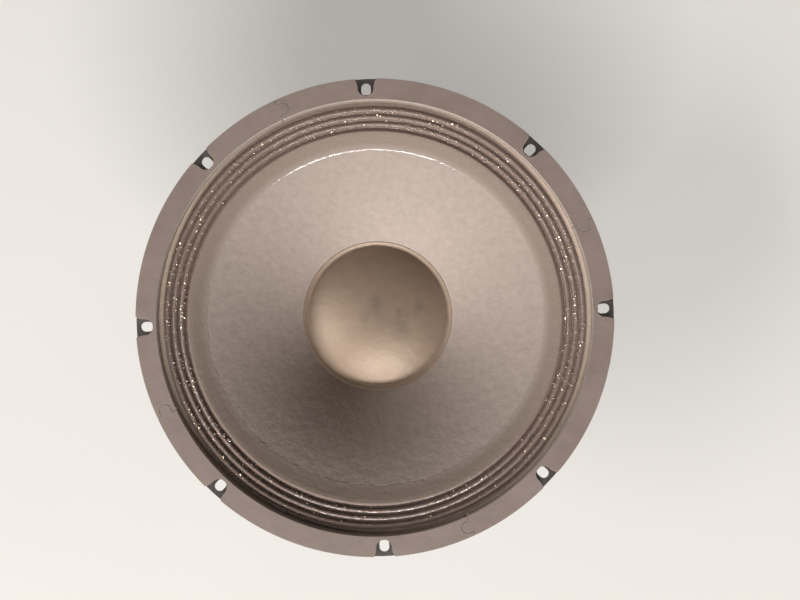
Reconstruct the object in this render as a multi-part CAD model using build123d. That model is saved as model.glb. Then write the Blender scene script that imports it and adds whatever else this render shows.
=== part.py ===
from build123d import *

import os
from math import cos, hypot, pi, radians, sin, sqrt, tan

# A cone loudspeaker driver in millimetres. Z = 0 is the rear face of the back plate, the driver's
# axis is Z, and the cone faces +Z. Sections are drawn as (radius, height) and turned around Z.

# Magnet motor
back_plate_d = 140.0
back_plate_t = 8.0
magnet_d = 156.0
magnet_bore_d = 84.0
magnet_t = 20.0
magnet_chamfer = 1.5
top_plate_d = 140.0
top_plate_t = 8.0
plate_chamfer = 1.0
pole_d = 62.0
pole_spigot_d = 44.0
vent_d = 20.0
gap_w = 2.2
coil_clearance = 0.5

# Vent screen
screen_d = 30.0
screen_t = 0.8
screen_recess = 2.0
screen_hole_d = 2.2
screen_pitch = 3.0
screen_rings = 3

# Basket of pressed steel
sheet_t = 1.5
bend_r = 2.0
seat_hole_d = 84.0
seat_d = 136.0
ledge_h = 15.0
ledge_in_d = 152.0
ledge_w = 14.0
rim_h = 18.0
basket_depth = 93.5
window_count = 8
window_margin = 8.0
window_corner_r = 7.0
spoke_w = 26.0
rib_w = 10.0
rib_h = 3.0
rib_margin = 5.0

# Flange and its radial slots
flange_d = 306.0
flange_w = 18.5
slot_count = 8
slot_inset = 6.7
slot_w = 6.2
slot_len = 8.6

# Rivets that hold the basket to the top plate
seat_rivet_count = 6
seat_rivet_d = 5.0
seat_rivet_depth = 6.0
seat_rivet_head_d = 9.0
seat_rivet_head_h = 1.8

# Front gasket
gasket_count = 4
gasket_t = 5.0
gasket_inset = 1.4
gasket_w = 13.3
notch_gap = 1.9
notch_web = 2.4
notch_flare_r = 10.0
tongue_w = 7.3
tongue_len = 6.2

# Cloth surround
surround_t = 0.6
surround_bend = 0.8
surround_flange_w = 8.0
surround_slope = 17.0
surround_glue_w = 10.5
roll_count = 3
roll_foot = 0.8
roll_pitch = 4.2
roll_inner_w = 1.4
roll_rise = 1.3

# Paper cone and dust cap
cone_t = 1.0
cone_edge_inset = 1.6
cone_sagitta = 5.0
neck_h = 3.0
cap_t = 0.8
cap_dome_d = 99.6
cap_lip_w = 3.0
cap_dome_h = 18.0

# Voice coil
former_t = 0.3
former_stand = 1.0
coil_h = 14.0

# Spider
spider_t = 0.6
spider_bend = 1.0
spider_collar_h = 4.0
spider_flat = 4.0
spider_rolls = 5
spider_rise = 2.2
spider_edge_gap = 1.0

# Terminal strip and its spring-loaded posts
terminal_spoke = 6
terminal_along = 34.0
board_end = 8.0
board_h = 18.0
board_t = 2.4
board_corner_r = 3.0
board_rivet_d = 3.0
board_rivet_pitch = 10.0
board_rivet_head_d = 5.5
board_rivet_head_h = 1.4
post_pitch = 36.0
post_d = 5.0
post_h = 16.0
post_flange_d = 8.0
post_flange_t = 1.0
post_head_d = 8.0
post_head_t = 1.5
wire_hole_d = 2.6
wire_hole_drop = 3.0
cap_body_h = 8.5
cap_wall = 1.0
cap_rim_w = 0.8
cap_rim_t = 2.0
cap_recess_h = 5.0
cap_relief_h = 2.0
spring_wire_d = 0.7
spring_turns = 6
lug_t = 0.8
lug_w = 5.0
lug_reach = 8.0

# Leads from the lugs to the coil
lead_d = 1.8
lead_exit = 12.0
lead_entry = 10.5
lead_hump = ((0.35, 7.0), (0.70, 5.0))
lead_bend_share = 0.45
lead_room = 6.2
pad_angle = 20.0
pad_w = 4.5
pad_h = 4.5
pad_t = 1.2

# Clearances
seam_gap = 0.3
glue_gap = 0.1
soft_gap = 0.3
rivet_gap = 0.05
slide_gap = 0.3
spring_seat = 0.2
spring_clearance = 0.4
recess_clearance = 1.0
relief_clearance = 0.8

# Heights along the axis
z_back = back_plate_t
z_magnet = z_back + magnet_t
z_seat = z_magnet + top_plate_t
z_ledge = z_seat + sheet_t + ledge_h
z_flange = z_seat + basket_depth
z_rim = z_flange - rim_h
z_cloth = z_flange + surround_t

# Radii
flange_r = flange_d / 2
rim_r = flange_r - flange_w
ledge_in_r = ledge_in_d / 2
ledge_out_r = ledge_in_r + ledge_w
pole_r = pole_d / 2
former_in_r = pole_r + coil_clearance
former_r = former_in_r + former_t
gap_r = pole_r + gap_w
gasket_out_r = flange_r - gasket_inset
gasket_in_r = gasket_out_r - gasket_w
gasket_mid_r = (gasket_out_r + gasket_in_r) / 2
neck_r = former_r + glue_gap

# Diameters and widths that follow the pieces they fit
slot_circle_d = flange_d - 2 * slot_inset
seat_rivet_circle_d = (seat_hole_d + seat_d) / 2
notch_w = slot_w + 2 * notch_gap
cap_lip_d = cap_dome_d + 2 * cap_lip_w
board_w = post_pitch + 2 * board_end
spring_d = post_d + 2 * (spring_clearance + spring_wire_d)
cap_recess_d = spring_d + 2 * recess_clearance
cap_relief_d = post_d + 2 * relief_clearance
cap_body_d = cap_recess_d + 2 * cap_wall
cap_rim_d = cap_body_d + 2 * cap_rim_w

# The wave of the surround: its sharp corners, before the rolls are rounded. The rolls step down
# inwards along the surround's slope, and each has a steep inner side.
foot_r = rim_r + roll_foot
roll_fall = roll_pitch * tan(radians(surround_slope))
first_ridge_r = foot_r - roll_pitch + roll_inner_w
shoulder_r = first_ridge_r - roll_count * roll_pitch
z_shoulder = z_cloth + roll_rise - roll_count * roll_fall
cloth_in_r = shoulder_r - surround_glue_w
z_cloth_in = z_shoulder - surround_glue_w * tan(radians(surround_slope))
cloth_out_r = rim_r + surround_flange_w

# The cone's front: a glue rim parallel to the surround's own, then one arc down to the neck
rim_drop = (surround_t + soft_gap) / cos(radians(surround_slope))
cone_r = cloth_in_r
z_cone = z_cloth_in - rim_drop
edge_r = shoulder_r - cone_edge_inset
z_edge = z_cone + (edge_r - cone_r) * tan(radians(surround_slope))

# The spider's level, the solder pads above its collar, and the cone's neck above them
z_spider = z_ledge + spider_t
z_pad = z_spider + spider_collar_h + lead_room / 2
z_neck = z_spider + spider_collar_h + lead_room + neck_h

# The straight wall of the basket, from the spider ledge up to the rim
wall_len = hypot(rim_r - ledge_out_r, z_rim - z_ledge)
wall_dir = ((rim_r - ledge_out_r) / wall_len, (z_rim - z_ledge) / wall_len)
wall_out = (wall_dir[1], -wall_dir[0])
spoke_step = 360 / window_count


def turned(section):
    """Turn a (radius, height) section around the axis."""
    return revolve(Plane.XZ * section, Axis.Z)


def ring(outer_d, inner_d, z_low, height):
    """A plain ring around the axis."""
    width = (outer_d - inner_d) / 2
    middle = Pos((outer_d + inner_d) / 4, z_low + height / 2)
    return turned(middle * Rectangle(width, height))


def rod(diameter, z_low, height):
    """A cylinder on the Z axis, from a given height up."""
    return Pos(0, 0, z_low) * Cylinder(diameter / 2, height, align=(Align.CENTER, Align.CENTER, Align.MIN))


def on_circle(count, diameter):
    """Places evenly spaced on a circle around the axis."""
    return [Rot(0, 0, i * 360 / count) * Pos(diameter / 2, 0, 0) for i in range(count)]


def direction(a, b):
    """The unit vector from a to b in a section."""
    length = hypot(b[0] - a[0], b[1] - a[1])
    return ((b[0] - a[0]) / length, (b[1] - a[1]) / length)


def moved_right(points, distance):
    """A path moved to the right of its own direction, with mitred corners."""
    runs = [direction(a, b) for a, b in zip(points, points[1:])]
    moved = []
    for i, (r, z) in enumerate(points):
        before = runs[max(i - 1, 0)]
        after = runs[min(i, len(runs) - 1)]
        normal = (before[1] + after[1], -before[0] - after[0])
        reach = 2 * distance / (normal[0] ** 2 + normal[1] ** 2)
        moved.append((r + reach * normal[0], z + reach * normal[1]))
    return moved


def sheet_section(points, thickness, bend):
    """Section of a formed sheet: its front follows the points, its back lies to their right."""
    runs = [direction(a, b) for a, b in zip(points, points[1:])]
    lefts = [a[0] * b[1] - a[1] * b[0] > 0 for a, b in zip(runs, runs[1:])]
    front_radii = [bend if left else bend + thickness for left in lefts]
    back_radii = [bend + thickness if left else bend for left in lefts]
    front = FilletPolyline(*points, radius=front_radii)
    back = FilletPolyline(*moved_right(points, thickness), radius=back_radii)
    ends = [Line(front @ 0, back @ 0), Line(front @ 1, back @ 1)]
    return make_face([*front.edges(), *back.edges(), *ends])


def wall_point(along, behind):
    """A point of the basket's straight wall, along it from the ledge and behind its front face."""
    r = ledge_out_r + along * wall_dir[0] + behind * wall_out[0]
    z = z_ledge + along * wall_dir[1] + behind * wall_out[1]
    return (r, z)


def arc_of(start, end, sagitta):
    """Centre and radius of the arc from start to end that bulges to the left by the sagitta."""
    along = direction(start, end)
    half = hypot(end[0] - start[0], end[1] - start[1]) / 2
    radius = (half**2 + sagitta**2) / (2 * sagitta)
    back = radius - sagitta
    middle = ((start[0] + end[0]) / 2, (start[1] + end[1]) / 2)
    return (middle[0] + along[1] * back, middle[1] - along[0] * back), radius


def on_arc(centre, radius, r):
    """The point of an arc's upper side at radius r from the axis."""
    return (r, centre[1] + sqrt(radius**2 - (r - centre[0]) ** 2))


def towards(centre, point, distance):
    """A point moved towards a centre."""
    run = direction(point, centre)
    return (point[0] + distance * run[0], point[1] + distance * run[1])


# The terminal strip's own frame: X runs across the spoke, Y up along it, Z away from the basket
terminal_angle = (terminal_spoke + 0.5) * spoke_step
radial = Vector(cos(radians(terminal_angle)), sin(radians(terminal_angle)), 0)
across = Vector(-radial.Y, radial.X, 0)
board_foot = wall_point(terminal_along, sheet_t + rib_h)
terminal_plane = Plane(
    origin=radial * board_foot[0] + Vector(0, 0, board_foot[1]),
    x_dir=across,
    z_dir=radial * wall_out[0] + Vector(0, 0, wall_out[1]),
)
post_side = {"positive": 1, "negative": -1}


def window():
    """Cutter for the window on +X. It widens upwards so that the spokes keep their width."""
    half_step = radians(spoke_step / 2)
    corners = []
    for along in (window_margin, wall_len - window_margin):
        r, z = wall_point(along, 0)
        half = r * tan(half_step) - spoke_w / 2 / cos(half_step)
        corners.append((half, z))
    (low_half, low_z), (high_half, high_z) = corners
    outline = Polygon(
        (-low_half, low_z), (low_half, low_z), (high_half, high_z), (-high_half, high_z), align=None
    )
    outline = fillet(outline.vertices(), window_corner_r)
    return extrude(Plane.YZ * outline, flange_r)


def spoke_bar(front, back, width, taper):
    """A bar along the spoke on +X, between two distances behind the wall's front face."""
    section = Polygon(
        wall_point(rib_margin, front),
        wall_point(wall_len - rib_margin, front),
        wall_point(wall_len - rib_margin - taper, back),
        wall_point(rib_margin + taper, back),
        align=None,
    )
    return extrude(Plane.XZ * section, width / 2, both=True)


def basket():
    """Pressed frame: magnet seat, spider ledge, windowed wall with ribbed spokes, rim and flange."""
    path = [
        (seat_hole_d / 2, z_seat + sheet_t),
        (seat_d / 2, z_seat + sheet_t),
        (ledge_in_r, z_ledge),
        (ledge_out_r, z_ledge),
        (rim_r, z_rim),
        (rim_r, z_flange),
        (flange_r, z_flange),
    ]
    body = turned(sheet_section(path, sheet_t, bend_r))
    rib = spoke_bar(sheet_t / 2, sheet_t + rib_h, rib_w, rib_h)
    groove = spoke_bar(-sheet_t, rib_h, rib_w - 2 * sheet_t, rib_h + sheet_t)
    for i in range(window_count):
        turn = Rot(0, 0, (i + 0.5) * spoke_step)
        body += turn * rib
        body -= turn * groove
    for i in range(window_count):
        body -= Rot(0, 0, i * spoke_step) * window()
    slot = extrude(SlotOverall(slot_len, slot_w), 2 * sheet_t, both=True)
    for place in on_circle(slot_count, slot_circle_d):
        body -= Pos(0, 0, z_flange) * place * slot
    rivet_hole = rod(seat_rivet_d + 2 * rivet_gap, z_seat, sheet_t)
    for place in on_circle(seat_rivet_count, seat_rivet_circle_d):
        body -= place * rivet_hole
    board_hole = rod(board_rivet_d + 2 * rivet_gap, -2 * sheet_t, 2 * sheet_t)
    for side in (-1, 1):
        body -= terminal_plane * Pos(0, side * board_rivet_pitch / 2, 0) * board_hole
    return body


def tongue(root, grow):
    """Round-ended tongue of a gasket segment, across +X. It points to -Y and starts root above it."""
    straight = tongue_len - tongue_w / 2
    end = Pos(gasket_mid_r, -straight) * Circle(tongue_w / 2 + grow)
    neck = Pos(gasket_mid_r, (root - straight) / 2) * Rectangle(tongue_w + 2 * grow, straight + root)
    return end + neck


def gasket_outline():
    """The whole gasket from the front, with a notch flared at its mouth around each bolt slot."""
    outline = Circle(gasket_out_r) - Circle(gasket_in_r)
    notch_r = gasket_in_r + notch_web + notch_w / 2
    flare_y = notch_w / 2 + notch_flare_r
    mouth = Pos(notch_r + notch_flare_r / 2, 0) * Rectangle(notch_flare_r, 2 * flare_y)
    mouth -= Pos(notch_r, flare_y) * Circle(notch_flare_r)
    mouth -= Pos(notch_r, -flare_y) * Circle(notch_flare_r)
    notch = Pos(notch_r, 0) * Circle(notch_w / 2) + mouth
    for i in range(slot_count):
        outline -= Rot(0, 0, i * 360 / slot_count) * notch
    return outline


def gasket_segment(index):
    """One arc of the gasket, between seams that lie midway between bolt slots."""
    sweep_angle = 360 / gasket_count
    start = 180 / slot_count + index * sweep_angle
    reach = 2 * flange_r
    corners = [(0, 0)]
    for share in (0, 0.5, 1):
        angle = radians(share * sweep_angle)
        corners.append((reach * cos(angle), reach * sin(angle)))
    cut = Pos(gasket_mid_r, 0) * Rectangle(2 * gasket_w, seam_gap)
    turn = Rot(0, 0, start)
    turn_end = Rot(0, 0, start + sweep_angle)
    outline = gasket_outline() & (turn * Polygon(*corners, align=None))
    outline -= turn * cut
    outline -= turn_end * cut
    outline += turn * tongue(tongue_w / 2, 0)
    outline -= turn_end * tongue(0, seam_gap)
    body = extrude(Pos(0, 0, z_flange) * outline, gasket_t)
    rebate = rod(2 * (cloth_out_r + soft_gap), z_flange, surround_t)
    return body - rebate


def surround():
    """Cloth edge: a glue rim on the cone, three rolls and a flat flange under the gasket."""
    path = [(cloth_in_r, z_cloth_in), (shoulder_r, z_shoulder)]
    for i in reversed(range(roll_count)):
        path.append((foot_r - (i + 1) * roll_pitch, z_cloth - (i + 1) * roll_fall))
        path.append((first_ridge_r - i * roll_pitch, z_cloth + roll_rise - i * roll_fall))
    path += [(foot_r, z_cloth), (cloth_out_r, z_cloth)]
    return turned(sheet_section(path, surround_t, surround_bend))


def cone_arc():
    """Centre and radius of the cone's front, from the neck out to the glue rim."""
    return arc_of((neck_r, z_neck), (cone_r, z_cone), cone_sagitta)


def cone():
    """Paper cone with a neck on the former and a flatter glue rim under the surround."""
    centre, radius = cone_arc()
    middle = on_arc(centre, radius, (neck_r + cone_r) / 2)
    neck = (neck_r, z_neck)
    rim = (cone_r, z_cone)
    slope = radians(surround_slope)
    edge_back = (edge_r + cone_t * sin(slope), z_edge - cone_t * cos(slope))
    front = ThreePointArc(neck, middle, rim)
    back_neck, back_middle, back_rim = [towards(centre, p, cone_t) for p in (neck, middle, rim)]
    back = ThreePointArc(back_neck, back_middle, back_rim)
    outer = Polyline(rim, (edge_r, z_edge), edge_back, back_rim)
    collar = Polyline(neck, (neck_r, z_neck - neck_h), (neck_r + cone_t, z_neck - neck_h), back_neck)
    return turned(make_face([front, back, *outer.edges(), *collar.edges()]))


def dust_cap():
    """Paper dome with a sloped lip that lies along the cone."""
    centre, radius = cone_arc()
    lip_mid = on_arc(centre, radius, (cap_lip_d + cap_dome_d) / 4)
    inward = direction(lip_mid, centre)
    slope = -inward[0] / inward[1]

    def lip(r, height):
        rise = height * sqrt(1 + slope**2)
        return (r, lip_mid[1] + slope * (r - lip_mid[0]) + rise)

    dome_r = cap_dome_d / 2
    base = lip(dome_r, glue_gap + cap_t)
    top = (0, base[1] + cap_dome_h)
    sphere_r = (dome_r**2 + cap_dome_h**2) / (2 * cap_dome_h)
    middle = (dome_r / 2, top[1] - sphere_r + sqrt(sphere_r**2 - dome_r**2 / 4))
    inside = lip(dome_r - cap_t, glue_gap)
    inner_r = sphere_r - cap_t
    half = inside[0] / 2
    inner_middle = (half, top[1] - sphere_r + sqrt(inner_r**2 - half**2))
    lip_edge = lip(cap_lip_d / 2, glue_gap + cap_t)
    lip_foot = lip(cap_lip_d / 2, glue_gap)
    dome = ThreePointArc(top, middle, base)
    hollow = ThreePointArc((0, top[1] - cap_t), inner_middle, inside)
    rest = Polyline(base, lip_edge, lip_foot, inside)
    axis = Line(top, (0, top[1] - cap_t))
    return turned(make_face([dome, hollow, *rest.edges(), axis]))


def coil_middle():
    """Height of the middle of the coil, which is the middle of the magnet gap."""
    return z_seat - top_plate_t / 2


def coil_former():
    """Tube from the foot of the coil up to the cone's neck."""
    foot = coil_middle() - coil_h / 2 - former_stand
    return ring(2 * former_r, 2 * former_in_r, foot, z_neck + former_stand - foot)


def voice_coil():
    """The winding on the former, centred in the magnet gap."""
    outer = gap_r - coil_clearance
    return ring(2 * outer, 2 * (former_r + glue_gap), coil_middle() - coil_h / 2, coil_h)


def spider():
    """Corrugated disc from the former out to the basket's ledge."""
    collar_r = former_r + soft_gap + spider_t
    inner = collar_r + spider_flat
    outer = ledge_in_r
    pitch = (outer - inner) / spider_rolls
    path = [(collar_r, z_spider + spider_collar_h), (collar_r, z_spider), (inner, z_spider)]
    for i in range(spider_rolls):
        path.append((inner + (i + 0.25) * pitch, z_spider + spider_rise))
        path.append((inner + (i + 0.75) * pitch, z_spider - spider_rise))
    path += [(outer, z_spider), (ledge_out_r - spider_edge_gap, z_spider)]
    return turned(sheet_section(path, spider_t, spider_bend))


def plate(diameter, bore_d, z_low, thickness, edge):
    """Ring of the motor with chamfered outer edges."""
    body = ring(diameter, bore_d, z_low, thickness)
    rims = [e for e in body.edges().filter_by(GeomType.CIRCLE) if e.radius > (diameter + bore_d) / 4]
    return chamfer(rims, edge)


def top_plate():
    """Front pole plate, drilled blind for the basket's rivets."""
    body = plate(top_plate_d, 2 * gap_r, z_magnet, top_plate_t, plate_chamfer)
    hole = rod(seat_rivet_d + 2 * rivet_gap, z_seat - seat_rivet_depth, seat_rivet_depth)
    for place in on_circle(seat_rivet_count, seat_rivet_circle_d):
        body -= place * hole
    return body


def magnet():
    """Ferrite ring between the two plates."""
    return plate(magnet_d, magnet_bore_d, z_back, magnet_t, magnet_chamfer)


def back_plate():
    """Rear plate, bored for the pole piece."""
    return plate(back_plate_d, pole_spigot_d + 2 * rivet_gap, 0, back_plate_t, plate_chamfer)


def pole_piece():
    """Vented pole with a spigot through the back plate and a recess for the screen."""
    body = rod(pole_d, z_back, z_seat - z_back) + rod(pole_spigot_d, 0, back_plate_t)
    body -= rod(vent_d, 0, z_seat)
    return body - rod(screen_d, 0, screen_recess)


def vent_screen():
    """Perforated disc seated on the floor of the pole's rear recess."""
    outline = Circle(screen_d / 2 - rivet_gap)
    step = Vector(screen_pitch, 0)
    side = Vector(screen_pitch / 2, screen_pitch * sqrt(3) / 2)
    holes = []
    for i in range(-screen_rings, screen_rings + 1):
        for j in range(-screen_rings, screen_rings + 1):
            if abs(i + j) <= screen_rings:
                place = step * i + side * j
                holes.append(Pos(place.X, place.Y) * Circle(screen_hole_d / 2))
    outline -= holes
    return extrude(Pos(0, 0, screen_recess - screen_t) * outline, screen_t)


def dome_head(diameter, height):
    """Low round head that stands on Z = 0."""
    radius = (diameter**2 / 4 + height**2) / (2 * height)
    ball = Pos(0, 0, height - radius) * Sphere(radius)
    return ball & rod(diameter, 0, height)


def basket_rivets():
    """The rivets through the basket's seat into the top plate, as one group of solids."""
    shank = rod(seat_rivet_d, z_seat - seat_rivet_depth, seat_rivet_depth + sheet_t)
    head = Pos(0, 0, z_seat + sheet_t) * dome_head(seat_rivet_head_d, seat_rivet_head_h)
    rivet = shank + head
    return Compound([place * rivet for place in on_circle(seat_rivet_count, seat_rivet_circle_d)])


def terminal_board():
    """Insulating strip across the spoke's rib."""
    outline = RectangleRounded(board_w, board_h, board_corner_r)
    for side in (-1, 1):
        outline -= Pos(0, side * board_rivet_pitch / 2) * Circle(board_rivet_d / 2 + rivet_gap)
        outline -= Pos(side * post_pitch / 2, 0) * Circle(post_d / 2 + rivet_gap)
    return terminal_plane * extrude(outline, board_t)


def terminal_rivets():
    """Two rivets through the board and the rib, with a formed head inside the rib's groove."""
    grip = sheet_t + board_t
    front_head = Pos(0, 0, board_t) * dome_head(board_rivet_head_d, board_rivet_head_h)
    back_head = rod(board_rivet_head_d, -sheet_t - board_rivet_head_h, board_rivet_head_h)
    rivet = rod(board_rivet_d, -sheet_t, grip) + front_head + back_head
    places = [Pos(0, side * board_rivet_pitch / 2, 0) for side in (-1, 1)]
    return Compound([terminal_plane * place * rivet for place in places])


def at_post(name):
    """Frame of one post: its foot is on the back of the board."""
    return terminal_plane * Pos(post_side[name] * post_pitch / 2, 0, 0)


def terminal_post(name):
    """Brass post with a collar behind the board, a retaining head and a cross hole for the wire."""
    tip = board_t + post_h
    body = rod(post_d, 0, tip) + rod(post_flange_d, -lug_t - post_flange_t, post_flange_t)
    body += rod(post_d, -lug_t, lug_t) + rod(post_head_d, tip - post_head_t, post_head_t)
    hole = Rot(90, 0, 0) * Cylinder(wire_hole_d / 2, 2 * post_d)
    body -= Pos(0, 0, tip - post_head_t - wire_hole_drop) * hole
    return at_post(name) * body


def cap_foot():
    """Height of the push cap's lower edge above the back of the board, at rest."""
    return board_t + post_h - post_head_t - slide_gap - cap_body_h


def push_cap(name):
    """Sleeve that slides on the post, with a finger rim, a recess for its spring and room for the wire."""
    foot = cap_foot()
    body = rod(cap_body_d, foot, cap_body_h)
    body += rod(cap_rim_d, foot + cap_body_h - cap_rim_t, cap_rim_t)
    body -= rod(post_d + 2 * slide_gap, foot, cap_body_h)
    body -= rod(cap_relief_d, foot, cap_recess_h + cap_relief_h)
    return at_post(name) * (body - rod(cap_recess_d, foot, cap_recess_h))


def spring_path():
    """The spring's centre line, as quarter-turn arcs that meet without a kink."""
    low = board_t + spring_wire_d / 2 + spring_seat
    high = cap_foot() + cap_recess_h - spring_wire_d / 2 - spring_seat
    radius = (spring_d - spring_wire_d) / 2
    steps = 4 * spring_turns
    points = []
    for i in range(steps + 1):
        angle = i * pi / 2
        points.append(Vector(radius * cos(angle), radius * sin(angle), low + (high - low) * i / steps))
    chord = points[1] - points[0]
    rise = chord.Z * chord.Y / (chord.length**2 - chord.Z**2)
    tangent = Vector(0, 1, rise)
    arcs = []
    for a, b in zip(points, points[1:]):
        arc = TangentArc(a, b, tangent=tangent)
        arcs.append(arc)
        tangent = arc % 1
    return Wire(arcs)


def push_spring(name):
    """Coil spring between the board and the cap, as one unbroken wire."""
    path = spring_path()
    start = Plane(origin=path @ 0, z_dir=path % 0)
    return at_post(name) * sweep(start * Circle(spring_wire_d / 2), path)


def solder_lug(name):
    """Flat tab clamped between the board and the post's collar."""
    outline = Circle(post_flange_d / 2)
    outline += Pos(0, -lug_reach / 2) * Rectangle(lug_w, lug_reach)
    outline += Pos(0, -lug_reach) * Circle(lug_w / 2)
    outline -= Circle(post_d / 2 + rivet_gap)
    return at_post(name) * extrude(Pos(0, 0, -lug_t) * outline, lug_t)


def pad_place(name):
    """Where a lead meets the former: the direction of the pad, as a turn around the axis."""
    return Rot(0, 0, terminal_angle + post_side[name] * pad_angle)


def lead_pad(name):
    """Solder pad on the former, with a flat outer face."""
    depth = 2 * pad_t
    block = Pos(former_r + pad_t - depth / 2, 0, z_pad) * Box(depth, pad_w, pad_h)
    return pad_place(name) * (block - rod(2 * (former_r + glue_gap), z_pad - pad_h, 2 * pad_h))


def lead_points(name):
    """The lead's route: square off the lug, in a low arch, and square onto the pad."""
    lug = at_post(name)
    start = (lug * Pos(0, -lug_reach, -lug_t)).position
    leave = (lug * Pos(0, -lug_reach, -lug_t - lead_exit)).position
    arrive = (pad_place(name) * Pos(former_r + pad_t + lead_entry, 0, z_pad)).position
    end = (pad_place(name) * Pos(former_r + pad_t, 0, z_pad)).position
    arch = [leave + (arrive - leave) * share + Vector(0, 0, rise) for share, rise in lead_hump]
    return [start, leave, *arch, arrive, end]


def lead_radii(points):
    """The largest bend that each corner of a route has room for."""
    radii = []
    for a, b, c in zip(points, points[1:], points[2:]):
        turn = radians((b - a).get_angle(c - b))
        shorter = min((b - a).length, (c - b).length)
        radii.append(lead_bend_share * shorter / tan(turn / 2))
    return radii


def tinsel_lead(name):
    """Limp lead from the solder lug to the pad on the former."""
    points = lead_points(name)
    path = FilletPolyline(*points, radius=lead_radii(points))
    start = Plane(origin=path @ 0, z_dir=path % 0)
    return sweep(start * Circle(lead_d / 2), path)


def spring_gap():
    """The least distance between turns of a push spring, measured on points of its wire."""
    path = spring_path()
    per_turn = 48
    count = per_turn * spring_turns
    points = [path @ (i / count) for i in range(count + 1)]
    pairs = [(a, b) for a in range(count + 1) for b in range(a + per_turn // 2, count + 1)]
    return min((points[a] - points[b]).length for a, b in pairs) - spring_wire_d


solids = {
    "basket": basket(),
    "surround": surround(),
    "cone": cone(),
    "dust_cap": dust_cap(),
    "coil_former": coil_former(),
    "voice_coil": voice_coil(),
    "spider": spider(),
    "top_plate": top_plate(),
    "magnet": magnet(),
    "back_plate": back_plate(),
    "pole_piece": pole_piece(),
    "vent_screen": vent_screen(),
    "basket_rivets": basket_rivets(),
    "terminal_board": terminal_board(),
    "terminal_rivets": terminal_rivets(),
}
for index in range(gasket_count):
    solids[f"gasket_segment_{index + 1}"] = gasket_segment(index)
for name in post_side:
    solids[f"terminal_post_{name}"] = terminal_post(name)
    solids[f"push_cap_{name}"] = push_cap(name)
    solids[f"push_spring_{name}"] = push_spring(name)
    solids[f"solder_lug_{name}"] = solder_lug(name)
    solids[f"lead_pad_{name}"] = lead_pad(name)
    solids[f"tinsel_lead_{name}"] = tinsel_lead(name)

os.makedirs("parts", exist_ok=True)
for node, shape in solids.items():
    export_step(shape, f"parts/{node}.step")

print("least gap between spring turns", round(spring_gap(), 3))
print("lead bend radii", [round(r, 1) for r in lead_radii(lead_points("positive"))])
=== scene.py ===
import random
from math import acos, atan2, cos, hypot, pi, radians, sin, sqrt, tan

import bmesh
import bpy
import numpy as np
from mathutils import Matrix, Vector, noise


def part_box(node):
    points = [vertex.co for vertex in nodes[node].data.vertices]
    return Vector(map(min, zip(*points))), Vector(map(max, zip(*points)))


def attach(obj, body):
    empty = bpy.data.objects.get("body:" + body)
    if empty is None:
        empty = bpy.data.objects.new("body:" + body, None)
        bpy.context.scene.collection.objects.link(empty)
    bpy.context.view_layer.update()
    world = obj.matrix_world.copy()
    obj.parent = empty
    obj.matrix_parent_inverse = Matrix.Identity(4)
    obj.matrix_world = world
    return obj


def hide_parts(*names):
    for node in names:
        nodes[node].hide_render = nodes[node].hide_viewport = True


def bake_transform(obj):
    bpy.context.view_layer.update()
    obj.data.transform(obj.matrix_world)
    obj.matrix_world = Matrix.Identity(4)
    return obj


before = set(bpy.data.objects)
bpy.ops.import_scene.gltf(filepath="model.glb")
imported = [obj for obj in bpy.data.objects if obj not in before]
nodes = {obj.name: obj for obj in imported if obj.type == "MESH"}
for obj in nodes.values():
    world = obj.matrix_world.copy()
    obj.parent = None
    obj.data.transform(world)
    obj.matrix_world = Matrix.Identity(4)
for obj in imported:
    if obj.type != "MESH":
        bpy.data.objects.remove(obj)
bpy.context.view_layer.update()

# A cone loudspeaker driver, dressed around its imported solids. Everything is in metres in the frame's
# own axes: Z is the driver's axis, the cone faces +Z, and sections are (radius, height) lines.

# Sizes that the solids give
flange_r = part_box("basket")[1].x
z_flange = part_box("basket")[1].z
z_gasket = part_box("gasket_segment_1")[1].z
cloth_out_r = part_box("surround")[1].x
neck_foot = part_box("cone")[0].z
z_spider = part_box("spider")[1].z
spider_out_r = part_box("spider")[1].x
former_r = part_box("coil_former")[1].x

# Gasket
gasket_count = 4
slot_count = 8
gasket_inset = 0.0014
gasket_w = 0.0133
notch_half = 0.0050
notch_web = 0.0024
notch_flare = 0.0100
seam_gap = 0.0001
tongue_w = 0.0073
tongue_len = 0.0062
gasket_edge = 0.0003
gasket_edge_steps = 3
cut_edge_lean = 0.3
worn_edge = (0.0002, 0.0010)
worn_wander = 0.0016

# Surround. Waves are pairs of a noise's size and depth
flange_w = 0.0185
surround_t = 0.0006
roll_count = 3
roll_foot = 0.0008
roll_pitch = 0.0042
roll_inner_w = 0.0014
roll_rise = 0.0013
ridge_bend = 0.0012
groove_bend = 0.0005
surround_slope = radians(17)
surround_glue_w = 0.0105
surround_step = 0.0007
surround_turns = 900
surround_waves = ((0.0050, 0.00010), (0.0016, 0.00007))
calm_share = 0.25

# The cloth's glue rim on the cone
glue_lap = 0.0005
glue_feather = 0.0090
glue_least_share = 0.1
glue_edge_wander = 0.0003
glue_wander_size = 0.0030
glue_tuck_w = 0.0004
glue_tuck_depth = 0.00010
glue_lift_w = 0.0006
glue_lift_h = 0.00022
glue_lift_power = 4
glue_lift_turn = 1.6
glue_fade = (-0.0010, 0.0045)
glue_fade_wander = 0.0070
glue_wet_w = 0.0007
glue_wet_fade = 0.0005
glue_wet_y = (0.085, 0.098)

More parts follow.
